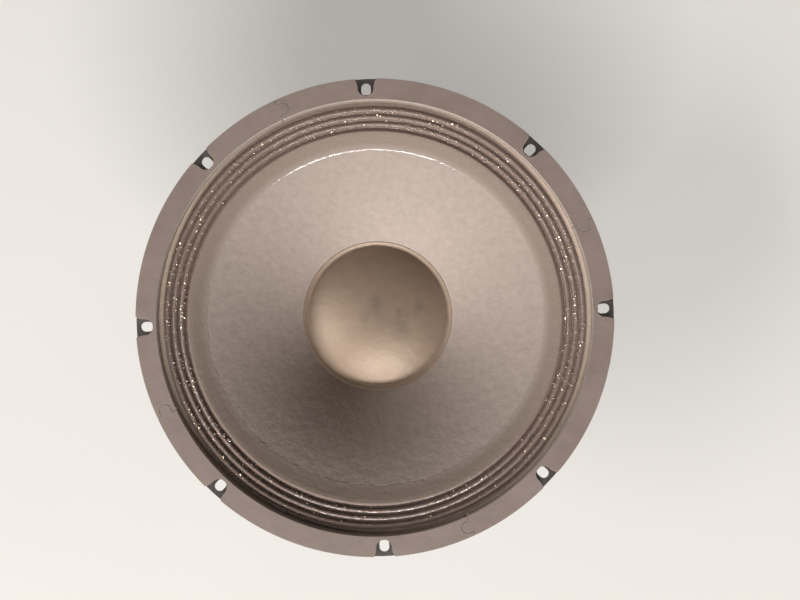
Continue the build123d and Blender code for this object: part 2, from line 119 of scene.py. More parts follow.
# Dope. Spans are measured from the foot or the shoulder of the rolls. Flakes are thinned out where the sine
# of their angle comes under a number drawn from flake_limit: fewer towards -Y, standing in for the shade
# there
dope_oval = 0.980
dope_wander = 0.0007
dope_out = (-0.0006, 0.0012)
dope_in = (-0.0004, 0.0008)
dope_wet = (0.0008, 0.0016)
flake_seed = 5
flake_tries = 1400
flake_sides = 8
flake_rings = ((0.45, 0.80), (0.80, 0.36), (1.0, 0.0))
flake_skirt = (1.2, -0.9)
flake_bulge = (0.04, 0.09)
flake_wobble = (0.82, 1.12)
flake_scatter = 0.0008
flake_size = (0.00036, 0.00085)
flake_tilt_degrees = (16, 42)
flake_limit = (-1.1, -0.3)

# Cone and dust cap
soft_gap = 0.0003
glue_gap = 0.0001
cone_t = 0.0010
cone_edge_inset = 0.0016
cone_sagitta = 0.0050
cone_rim_step = 0.0012
cone_turns = 640
cone_waves = ((0.0060, 0.00006), (0.0022, 0.00002))
neck_h = 0.0030
cap_t = 0.0008
cap_dome_r = 0.0498
cap_lip_w = 0.0030
cap_lip_t = 0.0003
cap_lip_feather = 0.0003
cap_lip_tuck = 0.0001
cap_lip_step = 0.0004
cap_dome_h = 0.0180
cap_waves = ((0.012, 0.00012), (0.0040, 0.00004))
glue_line_w = 0.0004
glue_line_wander = 0.0010
glue_line_share = 0.6

# Smudges on the dust cap: x, y, radius and strength of each
smudge_squash = 0.6
smudge_core = 0.6
smudge_reach = 1.5
cap_smudges = [
    (0.0159, -0.0089, 0.0080, 0.62),
    (0.0289, 0.0057, 0.0045, 0.57),
    (0.0153, 0.0025, 0.0030, 0.62),
    (-0.0004, 0.0083, 0.0060, 0.57),
    (-0.0087, -0.0010, 0.0050, 0.49),
    (0.0040, 0.0020, 0.0140, 0.27),
]

# Spider
spider_t = 0.0006
spider_collar_h = 0.0040
spider_flat = 0.0040
spider_rolls = 5
spider_rise = 0.0022
spider_bend = 0.0012
spider_step = 0.0010
spider_waves = ((0.0050, 0.00006),)
ledge_in_r = 0.0760

# Meshes and noise
disc_turns = 360
merge_distance = 1e-7
least_run = 1e-6
noise_range = (0.3, 0.7)
wave_rate = 20

# Derived radii and heights
gasket_out_r = flange_r - gasket_inset
gasket_in_r = gasket_out_r - gasket_w
gasket_mid_r = (gasket_out_r + gasket_in_r) / 2
rim_r = flange_r - flange_w
z_cloth = z_flange + surround_t
foot_r = rim_r + roll_foot
roll_fall = roll_pitch * tan(surround_slope)
first_ridge_r = foot_r - roll_pitch + roll_inner_w
shoulder_r = first_ridge_r - roll_count * roll_pitch
z_shoulder = z_cloth + roll_rise - roll_count * roll_fall
cloth_in_r = shoulder_r - surround_glue_w
z_cloth_in = z_shoulder - surround_glue_w * tan(surround_slope)
cone_r = cloth_in_r
z_cone = z_cloth_in - (surround_t + soft_gap) / cos(surround_slope)
cone_edge_r = shoulder_r - cone_edge_inset
z_cone_edge = z_cone + (cone_edge_r - cone_r) * tan(surround_slope)
neck_r = former_r + glue_gap
z_neck = neck_foot + neck_h
glue_edge_r = cloth_in_r - glue_lap
glue_full_r = glue_edge_r + glue_feather


# Sections

def direction(a, b):
    """The unit vector from a to b."""
    return (Vector(b) - Vector(a)).normalized()


def rounded(points, radii, steps=7):
    """A section's line with each inner corner rounded by an arc."""
    line = [Vector(points[0])]
    for before, corner, after, radius in zip(points, points[1:], points[2:], radii):
        back = direction(corner, before)
        ahead = direction(corner, after)
        half = back.angle(ahead) / 2
        centre = Vector(corner) + (back + ahead).normalized() * radius / sin(half)
        start = Vector(corner) + back * radius / tan(half) - centre
        end = Vector(corner) + ahead * radius / tan(half) - centre
        turn = start.angle_signed(end)
        for i in range(steps + 1):
            arm = start.copy()
            arm.rotate(Matrix.Rotation(-turn * i / steps, 2))
            line.append(centre + arm)
    line.append(Vector(points[-1]))
    return line


def divided(line, step):
    """The same line with its long runs cut into short ones."""
    short = [line[0]]
    for a, b in zip(line, line[1:]):
        count = max(1, round((b - a).length / step))
        short += [a.lerp(b, i / count) for i in range(1, count + 1)]
    return short


def moved_right(line, distance):
    """A line moved to the right of its own direction."""
    moved = []
    for i, point in enumerate(line):
        run = line[min(i + 1, len(line) - 1)] - line[max(i - 1, 0)]
        moved.append(point + Vector((run.y, -run.x)).normalized() * distance)
    return moved


def sheet_loop(front, thickness):
    """The closed section of a formed sheet whose front is the given line."""
    return front + moved_right(front, thickness)[::-1]


def arc(centre, radius, start, end, count):
    """Points of an arc, with both its ends."""
    angles = [start + (end - start) * i / count for i in range(count + 1)]
    return [Vector((centre[0] + radius * cos(a), centre[1] + radius * sin(a))) for a in angles]


def arc_of(start, end, sagitta):
    """Centre and radius of the arc from start to end that bulges to the left by the sagitta."""
    along = direction(start, end)
    half = (Vector(end) - Vector(start)).length / 2
    radius = (half**2 + sagitta**2) / (2 * sagitta)
    middle = (Vector(start) + Vector(end)) / 2
    return middle + Vector((along.y, -along.x)) * (radius - sagitta), radius


# Meshes

def new_object(name, points, faces):
    """A smooth-shaded object made from points and faces, with doubled points merged."""
    mesh = bpy.data.meshes.new(name)
    mesh.from_pydata([tuple(p) for p in points], [], faces)
    work = bmesh.new()
    work.from_mesh(mesh)
    bmesh.ops.remove_doubles(work, verts=work.verts, dist=merge_distance)
    bmesh.ops.recalc_face_normals(work, faces=work.faces)
    work.to_mesh(mesh)
    work.free()
    mesh.shade_smooth()
    piece = bpy.data.objects.new(name, mesh)
    bpy.context.scene.collection.objects.link(piece)
    return piece


def turned(name, loop, steps):
    """A closed section turned around the axis."""
    count = len(loop)
    points = []
    for i in range(steps):
        angle = 2 * pi * i / steps
        points += [(p[0] * cos(angle), p[0] * sin(angle), p[1]) for p in loop]
    faces = []
    for i in range(steps):
        here, there = i * count, (i + 1) % steps * count
        for j in range(count):
            k = (j + 1) % count
            faces.append((here + j, there + j, there + k, here + k))
    return new_object(name, points, faces)


def ruffled(piece, waves, calm_r=0.0, full_r=0.0):
    """Push each point along its normal by waves of noise, which may be calmer inside a radius."""
    mesh = piece.data
    normals = [v.vector.copy() for v in mesh.vertex_normals]
    for vertex, normal in zip(mesh.vertices, normals):
        push = sum(depth * noise.noise(vertex.co / size) for size, depth in waves)
        share = 1.0
        if full_r:
            radius = hypot(vertex.co.x, vertex.co.y)
            share = float(np.interp(radius, (calm_r, full_r), (calm_share, 1.0)))
        vertex.co += normal * push * share
    mesh.update()


def tube_data(points, radius, sides):
    """Points and faces of a capped round tube along a line of points."""
    points = [Vector(p) for p in points]
    runs = [direction(a, b) for a, b in zip(points, points[1:])]
    side = runs[0].orthogonal().normalized()
    rings, faces = [], []
    for i, point in enumerate(points):
        run = (runs[max(i - 1, 0)] + runs[min(i, len(runs) - 1)]).normalized()
        side = (side - run * side.dot(run)).normalized()
        other = run.cross(side)
        for k in range(sides):
            angle = 2 * pi * k / sides
            rings.append(point + (side * cos(angle) + other * sin(angle)) * radius)
    for i in range(len(points) - 1):
        for k in range(sides):
            a, b = i * sides + k, i * sides + (k + 1) % sides
            faces.append((a, b, b + sides, a + sides))
    last = (len(points) - 1) * sides
    faces.append(tuple(range(sides))[::-1])
    faces.append(tuple(range(last, last + sides)))
    return rings, faces


def joined(parts):
    """Several (points, faces) pairs as one pair."""
    points, faces = [], []
    for more_points, more_faces in parts:
        base = len(points)
        points += more_points
        faces += [tuple(base + i for i in face) for face in more_faces]
    return points, faces


def blend_outwards(piece, inner_r, outer_r):
    """Bake the piece's placement; the share of each point between the diaphragm inside one radius and the
    frame outside another is worked out but not kept.
    """
    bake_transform(piece)
    for vertex in piece.data.vertices:
        share = (outer_r - hypot(vertex.co.x, vertex.co.y)) / (outer_r - inner_r)
        share = min(max(share, 0), 1)


# Material nodes

def socket_name(key):
    """The label of a shader's socket, from a name such as base_color or coat_ior."""
    return key.replace("_", " ").title().replace("Ior", "IOR")


def new_material(name, **values):
    """A material whose even values sit on the shader's own sockets."""
    material = bpy.data.materials.new(name)
    material.use_nodes = True
    shader = material.node_tree.nodes["Principled BSDF"]
    for key, value in values.items():
        shader.inputs[socket_name(key)].default_value = value
    return material, material.node_tree, shader


def wire(tree, shader, **outputs):
    """Link the outputs of nodes to a shader's sockets."""
    for key, output in outputs.items():
        tree.links.new(output, shader.inputs[socket_name(key)])


def add(tree, kind, inputs=None, **settings):
    """A node with its settings, and with its inputs set or linked."""
    made = tree.nodes.new("ShaderNode" + kind)
    for key, value in settings.items():
        setattr(made, key, value)
    for key, value in (inputs or {}).items():
        if isinstance(value, bpy.types.NodeSocket):
            tree.links.new(value, made.inputs[key])
        else:
            made.inputs[key].default_value = value
    return made


def place(tree):
    """Where a point is in its object, which is its place in the frame at rest."""
    return add(tree, "TexCoord").outputs["Object"]


def plan_place(tree):
    """The same place seen along the axis, which stays put when the piece bends up and down."""
    parts = add(tree, "SeparateXYZ", {"Vector": place(tree)})
    flat = add(tree, "CombineXYZ", {"X": parts.outputs["X"], "Y": parts.outputs["Y"]})
    return flat.outputs["Vector"]


def stretched(tree, where, scale):
    """The same place with its axes scaled."""
    return add(tree, "Mapping", {"Vector": where, "Scale": scale}).outputs["Vector"]


def cloud(tree, where, size, detail=3.0, rough=0.55):
    """Noise with lumps of the given size."""
    inputs = {"Vector": where, "Scale": 1 / size, "Detail": detail, "Roughness": rough}
    return add(tree, "TexNoise", inputs).outputs["Fac"]


def calc(tree, operation, a, b=0.0):
    """One step of arithmetic."""
    return add(tree, "Math", {0: a, 1: b}, operation=operation).outputs["Value"]


def spread(tree, value, low, high, to_low=0.0, to_high=1.0):
    """A value carried from one range to another, held at the ends."""
    inputs = {"Value": value, "From Min": low, "From Max": high, "To Min": to_low, "To Max": to_high}
    return add(tree, "MapRange", inputs).outputs["Result"]


def ranged(tree, lumps, low=0.0, high=1.0):
    """Noise carried from the range where most of it lies to a new one."""
    return spread(tree, lumps, *noise_range, low, high)


def past(tree, value, mark, span):
    """From 0 to 1 over a span that is measured from a mark."""
    return spread(tree, value, mark + span[0], mark + span[1])


def wandered(tree, value, lumps, reach):
    """A distance made uneven by noise."""
    return calc(tree, "ADD", value, calc(tree, "MULTIPLY", lumps, reach))


def weighed(tree, a, b, share):
    """Two values added, with a share of the first and the rest of the second."""
    return calc(tree, "ADD", calc(tree, "MULTIPLY", a, share), calc(tree, "MULTIPLY", b, 1 - share))


def mixed(tree, share, a, b):
    """A mix of two colours."""
    return add(tree, "Mix", {0: share, 6: a, 7: b}, data_type="RGBA").outputs[2]


def bumped(tree, height, depth, normal=None):
    """A normal tilted by a height, where depth is how far a height of 1 stands up."""
    inputs = {"Height": height, "Distance": depth, "Strength": 1.0}
    if normal:
        inputs["Normal"] = normal
    return add(tree, "Bump", inputs).outputs["Normal"]


def radius_of(tree, where):
    """Distance from the driver's axis."""
    parts = add(tree, "SeparateXYZ", {"Vector": where})
    flat = add(tree, "CombineXYZ", {"X": parts.outputs["X"], "Y": parts.outputs["Y"]})
    return add(tree, "VectorMath", {0: flat.outputs["Vector"]}, operation="LENGTH").outputs["Value"]


def wave_scale(pitch):
    """The scale at which a wave texture repeats once in a pitch."""
    return 2 * pi / (wave_rate * pitch)


def weave(tree, where, pitch):
    """Crossing threads, as a height from 0 to 1."""
    bands = []
    for axis in "XY":
        inputs = {"Vector": where, "Scale": wave_scale(pitch), "Distortion": 0.6, "Detail": 1.0}
        wave = add(tree, "TexWave", inputs, wave_type="BANDS", bands_direction=axis)
        bands.append(wave.outputs["Fac"])
    return calc(tree, "MULTIPLY", bands[0], bands[1])


def colour(r, g, b):
    """An opaque colour."""
    return (r, g, b, 1.0)


# Materials

def paper(name, dark, light, lump, fibre_depth, lump_depth, rough, marks=(), glue_line=None, **values):
    """Felted paper: cloudy colour, fine fibres, soft lumps left by the mould, smudges and a glue line."""
    material, tree, shader = new_material(name, sheen_weight=0.2, **values)
    where = place(tree)
    clouds = cloud(tree, where, lump, 4.0)
    fibres = cloud(tree, where, 0.0011, 5.0, 0.7)
    tone = weighed(tree, clouds, fibres, 0.7)
    body = mixed(tree, spread(tree, tone, 0.36, 0.64), dark, light)
    grime = cloud(tree, where, 0.0030, 4.0, 0.6)
    for x, y, radius, strength in marks:
        squashed = stretched(tree, plan_place(tree), (1.0, smudge_squash, 1.0))
        spot = {0: squashed, 1: (x, y * smudge_squash, 0)}
        away = add(tree, "VectorMath", spot, operation="DISTANCE").outputs["Value"]
        away = wandered(tree, away, grime, radius)
        share = spread(tree, away, radius * smudge_core, radius * smudge_reach, strength, 0.0)
        body = mixed(tree, share, body, colour(0.070, 0.051, 0.040))
    if glue_line:
        ragged = wandered(tree, radius_of(tree, where), grime, glue_line_wander)
        share = spread(tree, ragged, glue_line, glue_line + glue_line_w, 0.0, glue_line_share)
        body = mixed(tree, share, body, colour(0.105, 0.066, 0.047))
    normal = bumped(tree, clouds, lump_depth)
    wire(tree, shader, base_color=body, roughness=ranged(tree, fibres, *rough),
         normal=bumped(tree, fibres, fibre_depth, normal))
    return material


def cone_paper():
    """The cone's dull paper."""
    dark = colour(0.286, 0.227, 0.193)
    light = colour(0.332, 0.264, 0.226)
    return paper("cone_paper", dark, light, lump=0.0045, fibre_depth=0.00012, lump_depth=0.0003,
                 rough=(0.58, 0.80), specular_ior_level=0.3)


def cap_paper():
    """The dust cap's smoother and glossier paper, with smudges."""
    dark = colour(0.154, 0.101, 0.070)
    light = colour(0.176, 0.117, 0.082)
    return paper("cap_paper", dark, light, lump=0.0070, fibre_depth=0.00005, lump_depth=0.0002,
                 rough=(0.46, 0.60), marks=cap_smudges, glue_line=cap_dome_r + cap_lip_w,
                 ior=1.65, specular_ior_level=0.8, specular_tint=colour(1.0, 0.84, 0.66))


def doped_cloth():
    """Woven cloth under sticky dope, with painted shade in the grooves, glossy on the rolls, bare towards the
    gasket.
    """
    material, tree, shader = new_material("doped_cloth", coat_roughness=0.18, coat_ior=1.8)
    where = plan_place(tree)
    radius = radius_of(tree, where)
    lumps = cloud(tree, where, 0.0022, 4.0, 0.65)
    grain = cloud(tree, where, 0.0007, 3.0, 0.6)
    ragged = wandered(tree, radius, calc(tree, "SUBTRACT", lumps, 0.5), dope_wander)
    turns = calc(tree, "MULTIPLY", calc(tree, "SUBTRACT", ragged, foot_r), 2 * pi / roll_pitch)
    # The rolls' colour is painted darker towards each groove: painted shade in the recesses between the
    # rolls.
    depth = spread(tree, calc(tree, "COSINE", turns), 0.40, 0.95)
    crest = mixed(tree, lumps, colour(0.144, 0.099, 0.080), colour(0.218, 0.156, 0.129))
    rolls = mixed(tree, depth, crest, colour(0.119, 0.080, 0.064))
    bare = mixed(tree, grain, colour(0.419, 0.326, 0.255), colour(0.535, 0.427, 0.340))
    thick = spread(tree, grain, 0.35, 0.65)
    glue = mixed(tree, thick, colour(0.188, 0.143, 0.116), colour(0.266, 0.206, 0.168))
    oval = radius_of(tree, stretched(tree, where, (1.0, dope_oval, 1.0)))
    oval = calc(tree, "ADD", oval, calc(tree, "SUBTRACT", ragged, radius))
    outer = past(tree, oval, foot_r, dope_out)
    inner = past(tree, ragged, shoulder_r, dope_in)
    thinned = wandered(tree, radius, calc(tree, "SUBTRACT", grain, 0.5), glue_fade_wander)
    edge = past(tree, thinned, glue_edge_r, glue_fade)
    glue = mixed(tree, edge, colour(0.303, 0.241, 0.207), glue)
    tone = mixed(tree, outer, mixed(tree, inner, glue, rolls), bare)
    wet = past(tree, ragged, shoulder_r, dope_wet)
    wet = calc(tree, "MULTIPLY", wet, calc(tree, "SUBTRACT", 1.0, outer))
    wet = calc(tree, "MULTIPLY", wet, spread(tree, lumps, 0.38, 0.60, 0.05, 0.5))
    shine_r = glue_edge_r + glue_wet_w
    shine = spread(tree, ragged, shine_r, shine_r + glue_wet_fade, 0.4, 0.0)
    across = add(tree, "SeparateXYZ", {"Vector": where}).outputs["Y"]
    shine = calc(tree, "MULTIPLY", shine, spread(tree, across, *glue_wet_y))
    normal = bumped(tree, weave(tree, where, 0.0010), 0.00002)
    relief = calc(tree, "MULTIPLY", lumps, spread(tree, inner, 0.0, 1.0, 0.25, 1.0))
    normal = bumped(tree, relief, 0.0003, normal)
    wire(tree, shader, base_color=tone, coat_weight=calc(tree, "MAXIMUM", wet, shine),
         sheen_weight=spread(tree, edge, 0.0, 1.0, 0.2, 0.0),
         specular_ior_level=spread(tree, edge, 0.0, 1.0, 0.3, 0.12),
         roughness=ranged(tree, grain, 0.45, 0.75), normal=bumped(tree, grain, 0.00008, normal))
    return material


def dope():
    """Flakes of clear brown dope."""
    material, tree, shader = new_material("dope", ior=2.2, coat_weight=0.3, coat_roughness=0.03,
                                          specular_tint=colour(1.0, 0.82, 0.58))
    lumps = cloud(tree, place(tree), 0.0010)
    tone = mixed(tree, lumps, colour(0.121, 0.085, 0.069), colour(0.201, 0.147, 0.122))
    wire(tree, shader, base_color=tone, roughness=ranged(tree, lumps, 0.03, 0.09))
    return material


def gasket_fibre():
    """Pressed fibre board with a satin face, worn pale along its outer edge."""
    material, tree, shader = new_material("gasket_fibre", specular_ior_level=0.35, sheen_weight=0.1)
    where = place(tree)
    clouds = cloud(tree, where, 0.030, 3.0)
    grain = cloud(tree, where, 0.0012, 4.0, 0.65)
    tone = weighed(tree, clouds, grain, 0.75)
    share = spread(tree, tone, 0.35, 0.65)
    body = mixed(tree, share, colour(0.183, 0.137, 0.116), colour(0.225, 0.170, 0.144))
    ragged = wandered(tree, radius_of(tree, where), grain, worn_wander)
    worn = past(tree, ragged, gasket_out_r, worn_edge)
    body = mixed(tree, calc(tree, "MULTIPLY", worn, 0.6), body, colour(0.338, 0.278, 0.243))
    normal = bumped(tree, clouds, 0.0010)
    wire(tree, shader, base_color=body, roughness=ranged(tree, tone, 0.54, 0.70),
         normal=bumped(tree, grain, 0.00007, normal))
    return material


def gasket_cut():
    """The gasket's cut edge, where the pale fibre shows in layers."""
    material, tree, shader = new_material("gasket_cut")
    where = place(tree)
    layers = cloud(tree, stretched(tree, where, (1.0, 1.0, 9.0)), 0.0040, 3.0)
    grain = cloud(tree, where, 0.0009, 4.0, 0.7)
    tone = weighed(tree, layers, grain, 0.5)
    share = spread(tree, tone, 0.35, 0.65)
    body = mixed(tree, share, colour(0.268, 0.221, 0.189), colour(0.418, 0.358, 0.309))
    wire(tree, shader, base_color=body, roughness=ranged(tree, grain, 0.70, 0.90),
         normal=bumped(tree, tone, 0.0003))
    return material


def black_steel():
    """Black enamel on pressed steel, with dust and a slight orange peel."""
    material, tree, shader = new_material("black_steel", coat_weight=0.12, coat_roughness=0.3)
    where = place(tree)
    peel = cloud(tree, where, 0.0016, 2.0)
    dust = cloud(tree, where, 0.020, 5.0, 0.65)
    share = spread(tree, dust, 0.42, 0.75)
    body = mixed(tree, share, colour(0.031, 0.022, 0.019), colour(0.064, 0.047, 0.042))
    wire(tree, shader, base_color=body, roughness=spread(tree, dust, 0.35, 0.70, 0.34, 0.58),
         normal=bumped(tree, peel, 0.00012))
    return material


def spider_cloth():
    """Open cloth stiffened with amber resin."""
    material, tree, shader = new_material("spider_cloth", sheen_weight=0.15)
    where = plan_place(tree)
    threads = weave(tree, where, 0.0012)
    clouds = cloud(tree, where, 0.012, 4.0)
    resin = mixed(tree, clouds, colour(0.36, 0.19, 0.055), colour(0.52, 0.30, 0.10))
    body = mixed(tree, spread(tree, threads, 0.05, 0.6), colour(0.17, 0.085, 0.028), resin)
    wire(tree, shader, base_color=body, roughness=ranged(tree, clouds, 0.45, 0.65),
         normal=bumped(tree, threads, 0.00025))
    return material


def turned_steel(name, dark, light, rough):
    """Plated steel with the fine rings that a lathe leaves."""
    material, tree, shader = new_material(name, metallic=1.0)
    where = place(tree)
    rings = add(tree, "CombineXYZ", {"X": radius_of(tree, where)}).outputs["Vector"]
    marks = cloud(tree, rings, 0.00035, 4.0, 0.7)
    stains = cloud(tree, where, 0.018, 5.0, 0.6)
    wire(tree, shader, base_color=mixed(tree, ranged(tree, stains), dark, light),
         roughness=ranged(tree, stains, rough - 0.08, rough + 0.10), normal=bumped(tree, marks, 0.00004))
    return material


def ferrite():
    """Dark ground ceramic with a fine grain."""
    material, tree, shader = new_material("ferrite")
    where = place(tree)
    grain = cloud(tree, where, 0.0008, 4.0, 0.7)
    clouds = cloud(tree, where, 0.025, 4.0)
    share = spread(tree, weighed(tree, grain, clouds, 0.4), 0.35, 0.65)
    body = mixed(tree, share, colour(0.022, 0.022, 0.024), colour(0.060, 0.058, 0.058))
    wire(tree, shader, base_color=body, roughness=ranged(tree, grain, 0.45, 0.68),
         normal=bumped(tree, grain, 0.00012))
    return material


def bare_metal(name, dark, light, rough, grain_size=0.0010):
    """Drawn or stamped metal, a little cloudy and scuffed."""
    material, tree, shader = new_material(name, metallic=1.0)
    scuffs = cloud(tree, place(tree), grain_size, 5.0, 0.65)
    wire(tree, shader, base_color=mixed(tree, ranged(tree, scuffs), dark, light),
         roughness=ranged(tree, scuffs, rough - 0.07, rough + 0.12), normal=bumped(tree, scuffs, 0.00003))
    return material


def coil_wire():
    """Close turns of enamelled copper wire, with painted shade between the turns and painted highlights on
    them.
    """
    material, tree, shader = new_material("coil_wire", metallic=1.0, coat_weight=0.5)
    where = place(tree)
    inputs = {"Vector": where, "Scale": wave_scale(0.00045)}
    turns = add(tree, "TexWave", inputs, bands_direction="Z").outputs["Fac"]
    # The colour runs dark between the turns and light on their crowns: painted shade and painted highlights.
    body = mixed(tree, turns, colour(0.28, 0.09, 0.035), colour(0.62, 0.26, 0.11))
    clouds = cloud(tree, where, 0.004)
    wire(tree, shader, base_color=body, roughness=ranged(tree, clouds, 0.22, 0.40),
         normal=bumped(tree, turns, 0.00020))
    return material


def board_fibre():
    """Resin-bonded brown board."""
    material, tree, shader = new_material("board_fibre", coat_weight=0.25, coat_roughness=0.3)
    fibres = cloud(tree, place(tree), 0.0016, 5.0, 0.7)
    body = mixed(tree, ranged(tree, fibres), colour(0.16, 0.070, 0.028), colour(0.27, 0.13, 0.055))
    wire(tree, shader, base_color=body, roughness=ranged(tree, fibres, 0.38, 0.58),
         normal=bumped(tree, fibres, 0.00008))
    return material


def moulded(name, dark, light):
    """Moulded plastic with a fine spark-eroded grain."""
    material, tree, shader = new_material(name, subsurface_weight=0.05)
    where = place(tree)
    grain = cloud(tree, where, 0.0005, 3.0, 0.6)
    clouds = cloud(tree, where, 0.006, 3.0)
    wire(tree, shader, base_color=mixed(tree, ranged(tree, clouds), dark, light),
         roughness=ranged(tree, grain, 0.32, 0.46), normal=bumped(tree, grain, 0.00005))
    return material


finishes = {
    "cone_paper": cone_paper(),
    "cap_paper": cap_paper(),
    "doped_cloth": doped_cloth(),
    "dope": dope(),
    "gasket_fibre": gasket_fibre(),
    "gasket_cut": gasket_cut(),
    "black_steel": black_steel(),
    "spider_cloth": spider_cloth(),
    "plated_steel": turned_steel("plated_steel", colour(0.48, 0.48, 0.47), colour(0.66, 0.66, 0.65), 0.30),
    "ferrite": ferrite(),
    "screen_steel": bare_metal("screen_steel", colour(0.36, 0.36, 0.36), colour(0.55, 0.55, 0.54), 0.35),
    "rivet_steel": bare_metal("rivet_steel", colour(0.50, 0.50, 0.49), colour(0.68, 0.68, 0.66), 0.28),
    "former_foil": bare_metal("former_foil", colour(0.62, 0.61, 0.59), colour(0.78, 0.77, 0.75), 0.30, 0.004),
    "coil_wire": coil_wire(),
    "board_fibre": board_fibre(),
    "post_brass": bare_metal("post_brass", colour(0.62, 0.43, 0.17), colour(0.80, 0.60, 0.28), 0.25),
    "red_plastic": moulded("red_plastic", colour(0.42, 0.020, 0.018), colour(0.55, 0.035, 0.030)),
    "black_plastic": moulded("black_plastic", colour(0.018, 0.018, 0.019), colour(0.035, 0.035, 0.036)),
    "spring_steel": bare_metal("spring_steel", colour(0.45, 0.45, 0.46), colour(0.64, 0.64, 0.64), 0.25),
    "lug_tin": bare_metal("lug_tin", colour(0.58, 0.57, 0.55), colour(0.76, 0.75, 0.72), 0.32),
    "tinsel_braid": bare_metal("tinsel_braid", colour(0.45, 0.25, 0.14), colour(0.72, 0.48, 0.32), 0.35),
}


def dressed(piece, finish):
    """Give a new piece its material."""
    piece.data.materials.append(finishes[finish])
    return piece


# Gasket

def turned_to(points, angle):
    """Points of a section seen from the front, turned around the axis."""
    c, s = cos(angle), sin(angle)
    return [Vector((p[0] * c - p[1] * s, p[0] * s + p[1] * c)) for p in points]


def notch_outline():
    """One bolt notch on +X, flared at its mouth, from the outer edge in to its round end and out again."""
    end_r = gasket_in_r + notch_web + notch_half
    flare = Vector((end_r, -notch_half - notch_flare))
    reach = (gasket_out_r**2 - flare.length_squared - notch_flare**2) / (2 * notch_flare * flare.length)
    mouth = atan2(flare.y, flare.x) + acos(reach)
    side = arc(flare, notch_flare, mouth, pi / 2, count=10)
    points = side + arc((end_r, 0), notch_half, 1.5 * pi, pi / 2, count=20)
    points += [Vector((p.x, -p.y)) for p in reversed(side)]
    return points, atan2(-side[0].y, side[0].x)


def gasket_outline(index):
    """One arc of the gasket from the front: a tongue at its start and a socket at its end."""
    step = 2 * pi / gasket_count
    slot_step = 2 * pi / slot_count
    start = slot_step / 2 + index * step
    end = start + step
    half_seam = seam_gap / 2
    straight = tongue_len - tongue_w / 2
    notch, lean = notch_outline()
    line = []
    angle = start + half_seam / gasket_out_r
    for k in range(slot_count // gasket_count):
        slot_angle = start + (k + 0.5) * slot_step
        line += arc((0, 0), gasket_out_r, angle, slot_angle - lean, count=36)
        line += turned_to(notch, slot_angle)
        angle = slot_angle + lean
    line += arc((0, 0), gasket_out_r, angle, end - half_seam / gasket_out_r, count=36)
    wide = tongue_w / 2 + seam_gap
    socket = [Vector((gasket_mid_r + wide, -half_seam))]
    socket += arc((gasket_mid_r, -straight), wide, 0, -pi, count=16)
    socket.append(Vector((gasket_mid_r - wide, -half_seam)))
    line += turned_to(socket, end)
    seam_turn = half_seam / gasket_in_r
    line += arc((0, 0), gasket_in_r, end - seam_turn, start + seam_turn, count=110)
    tongue = [Vector((gasket_mid_r - tongue_w / 2, half_seam))]
    tongue += arc((gasket_mid_r, -straight), tongue_w / 2, pi, 2 * pi, count=16)
    tongue.append(Vector((gasket_mid_r + tongue_w / 2, half_seam)))
    line += turned_to(tongue, start)
    return line


def inset(outline, distance):
    """A closed outline moved to its left, which is inwards."""
    moved = []
    for i, point in enumerate(outline):
        before = direction(outline[i - 1], point)
        after = direction(point, outline[(i + 1) % len(outline)])
        normal = Vector((-before.y - after.y, before.x + after.x))
        moved.append(point + normal * (2 * distance / normal.length_squared))
    return moved


def gasket_segment(index):
    """A gasket arc with softened edges, a satin face and a pale cut edge."""
    name = f"gasket_segment_{index + 1}"
    outline = gasket_outline(index)
    outline = [p for i, p in enumerate(outline) if (p - outline[i - 1]).length > least_run]
    count = len(outline)
    levels = [(0, z_flange), (0, z_gasket - gasket_edge)]
    for i in range(1, gasket_edge_steps + 1):
        angle = i * pi / (2 * gasket_edge_steps)
        levels.append((gasket_edge * (1 - cos(angle)), z_gasket - gasket_edge * (1 - sin(angle))))
    points, faces = [], []
    for distance, z in levels:
        points += [(p.x, p.y, z) for p in inset(outline, distance)]
    for level in range(len(levels) - 1):
        for i in range(count):
            a, b = level * count + i, level * count + (i + 1) % count
            faces.append((a, b, b + count, a + count))
    top = (len(levels) - 1) * count
    faces.append(tuple(range(top, top + count)))
    faces.append(tuple(range(count))[::-1])
    piece = new_object(f"{name}_board", points, faces)
    dressed(piece, "gasket_fibre")
    piece.data.materials.append(finishes["gasket_cut"])
    for face in piece.data.polygons:
        face.use_smooth = len(face.vertices) == 4
        face.material_index = 1 if abs(face.normal.z) < cut_edge_lean else 0
    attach(piece, "frame")
    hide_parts(name)
    return piece


# Surround, cone, dust cap and spider

def cone_arc():
    """Centre and radius of the cone's front."""
    return arc_of((neck_r, z_neck), (cone_r, z_cone), cone_sagitta)


def cone_front(r):
    """Height of the cone's front at a radius inside its glue rim."""
    centre, radius = cone_arc()
    return centre.y + sqrt(radius**2 - (r - centre.x) ** 2)


def surround_line():
    """The front of the cloth, from its glue rim over the rolls to its flange under the gasket."""
    tuck_r = glue_edge_r - glue_tuck_w
    lift_r = glue_edge_r + glue_lift_w
    corners = [(tuck_r, cone_front(tuck_r) - glue_tuck_depth)]
    corners.append((lift_r, cone_front(lift_r) + glue_lift_h))
    corners.append((glue_full_r, z_cloth_in + (glue_full_r - cloth_in_r) * tan(surround_slope)))
    corners.append((shoulder_r, z_shoulder))
    bends = [ridge_bend, ridge_bend, ridge_bend]
    for i in reversed(range(roll_count)):
        corners.append((foot_r - (i + 1) * roll_pitch, z_cloth - (i + 1) * roll_fall))
        corners.append((first_ridge_r - i * roll_pitch, z_cloth + roll_rise - i * roll_fall))
        bends += [groove_bend, ridge_bend]
    corners += [(foot_r, z_cloth), (cloth_out_r, z_cloth)]
    bends.append(groove_bend)
    return divided(rounded(corners, bends), surround_step)


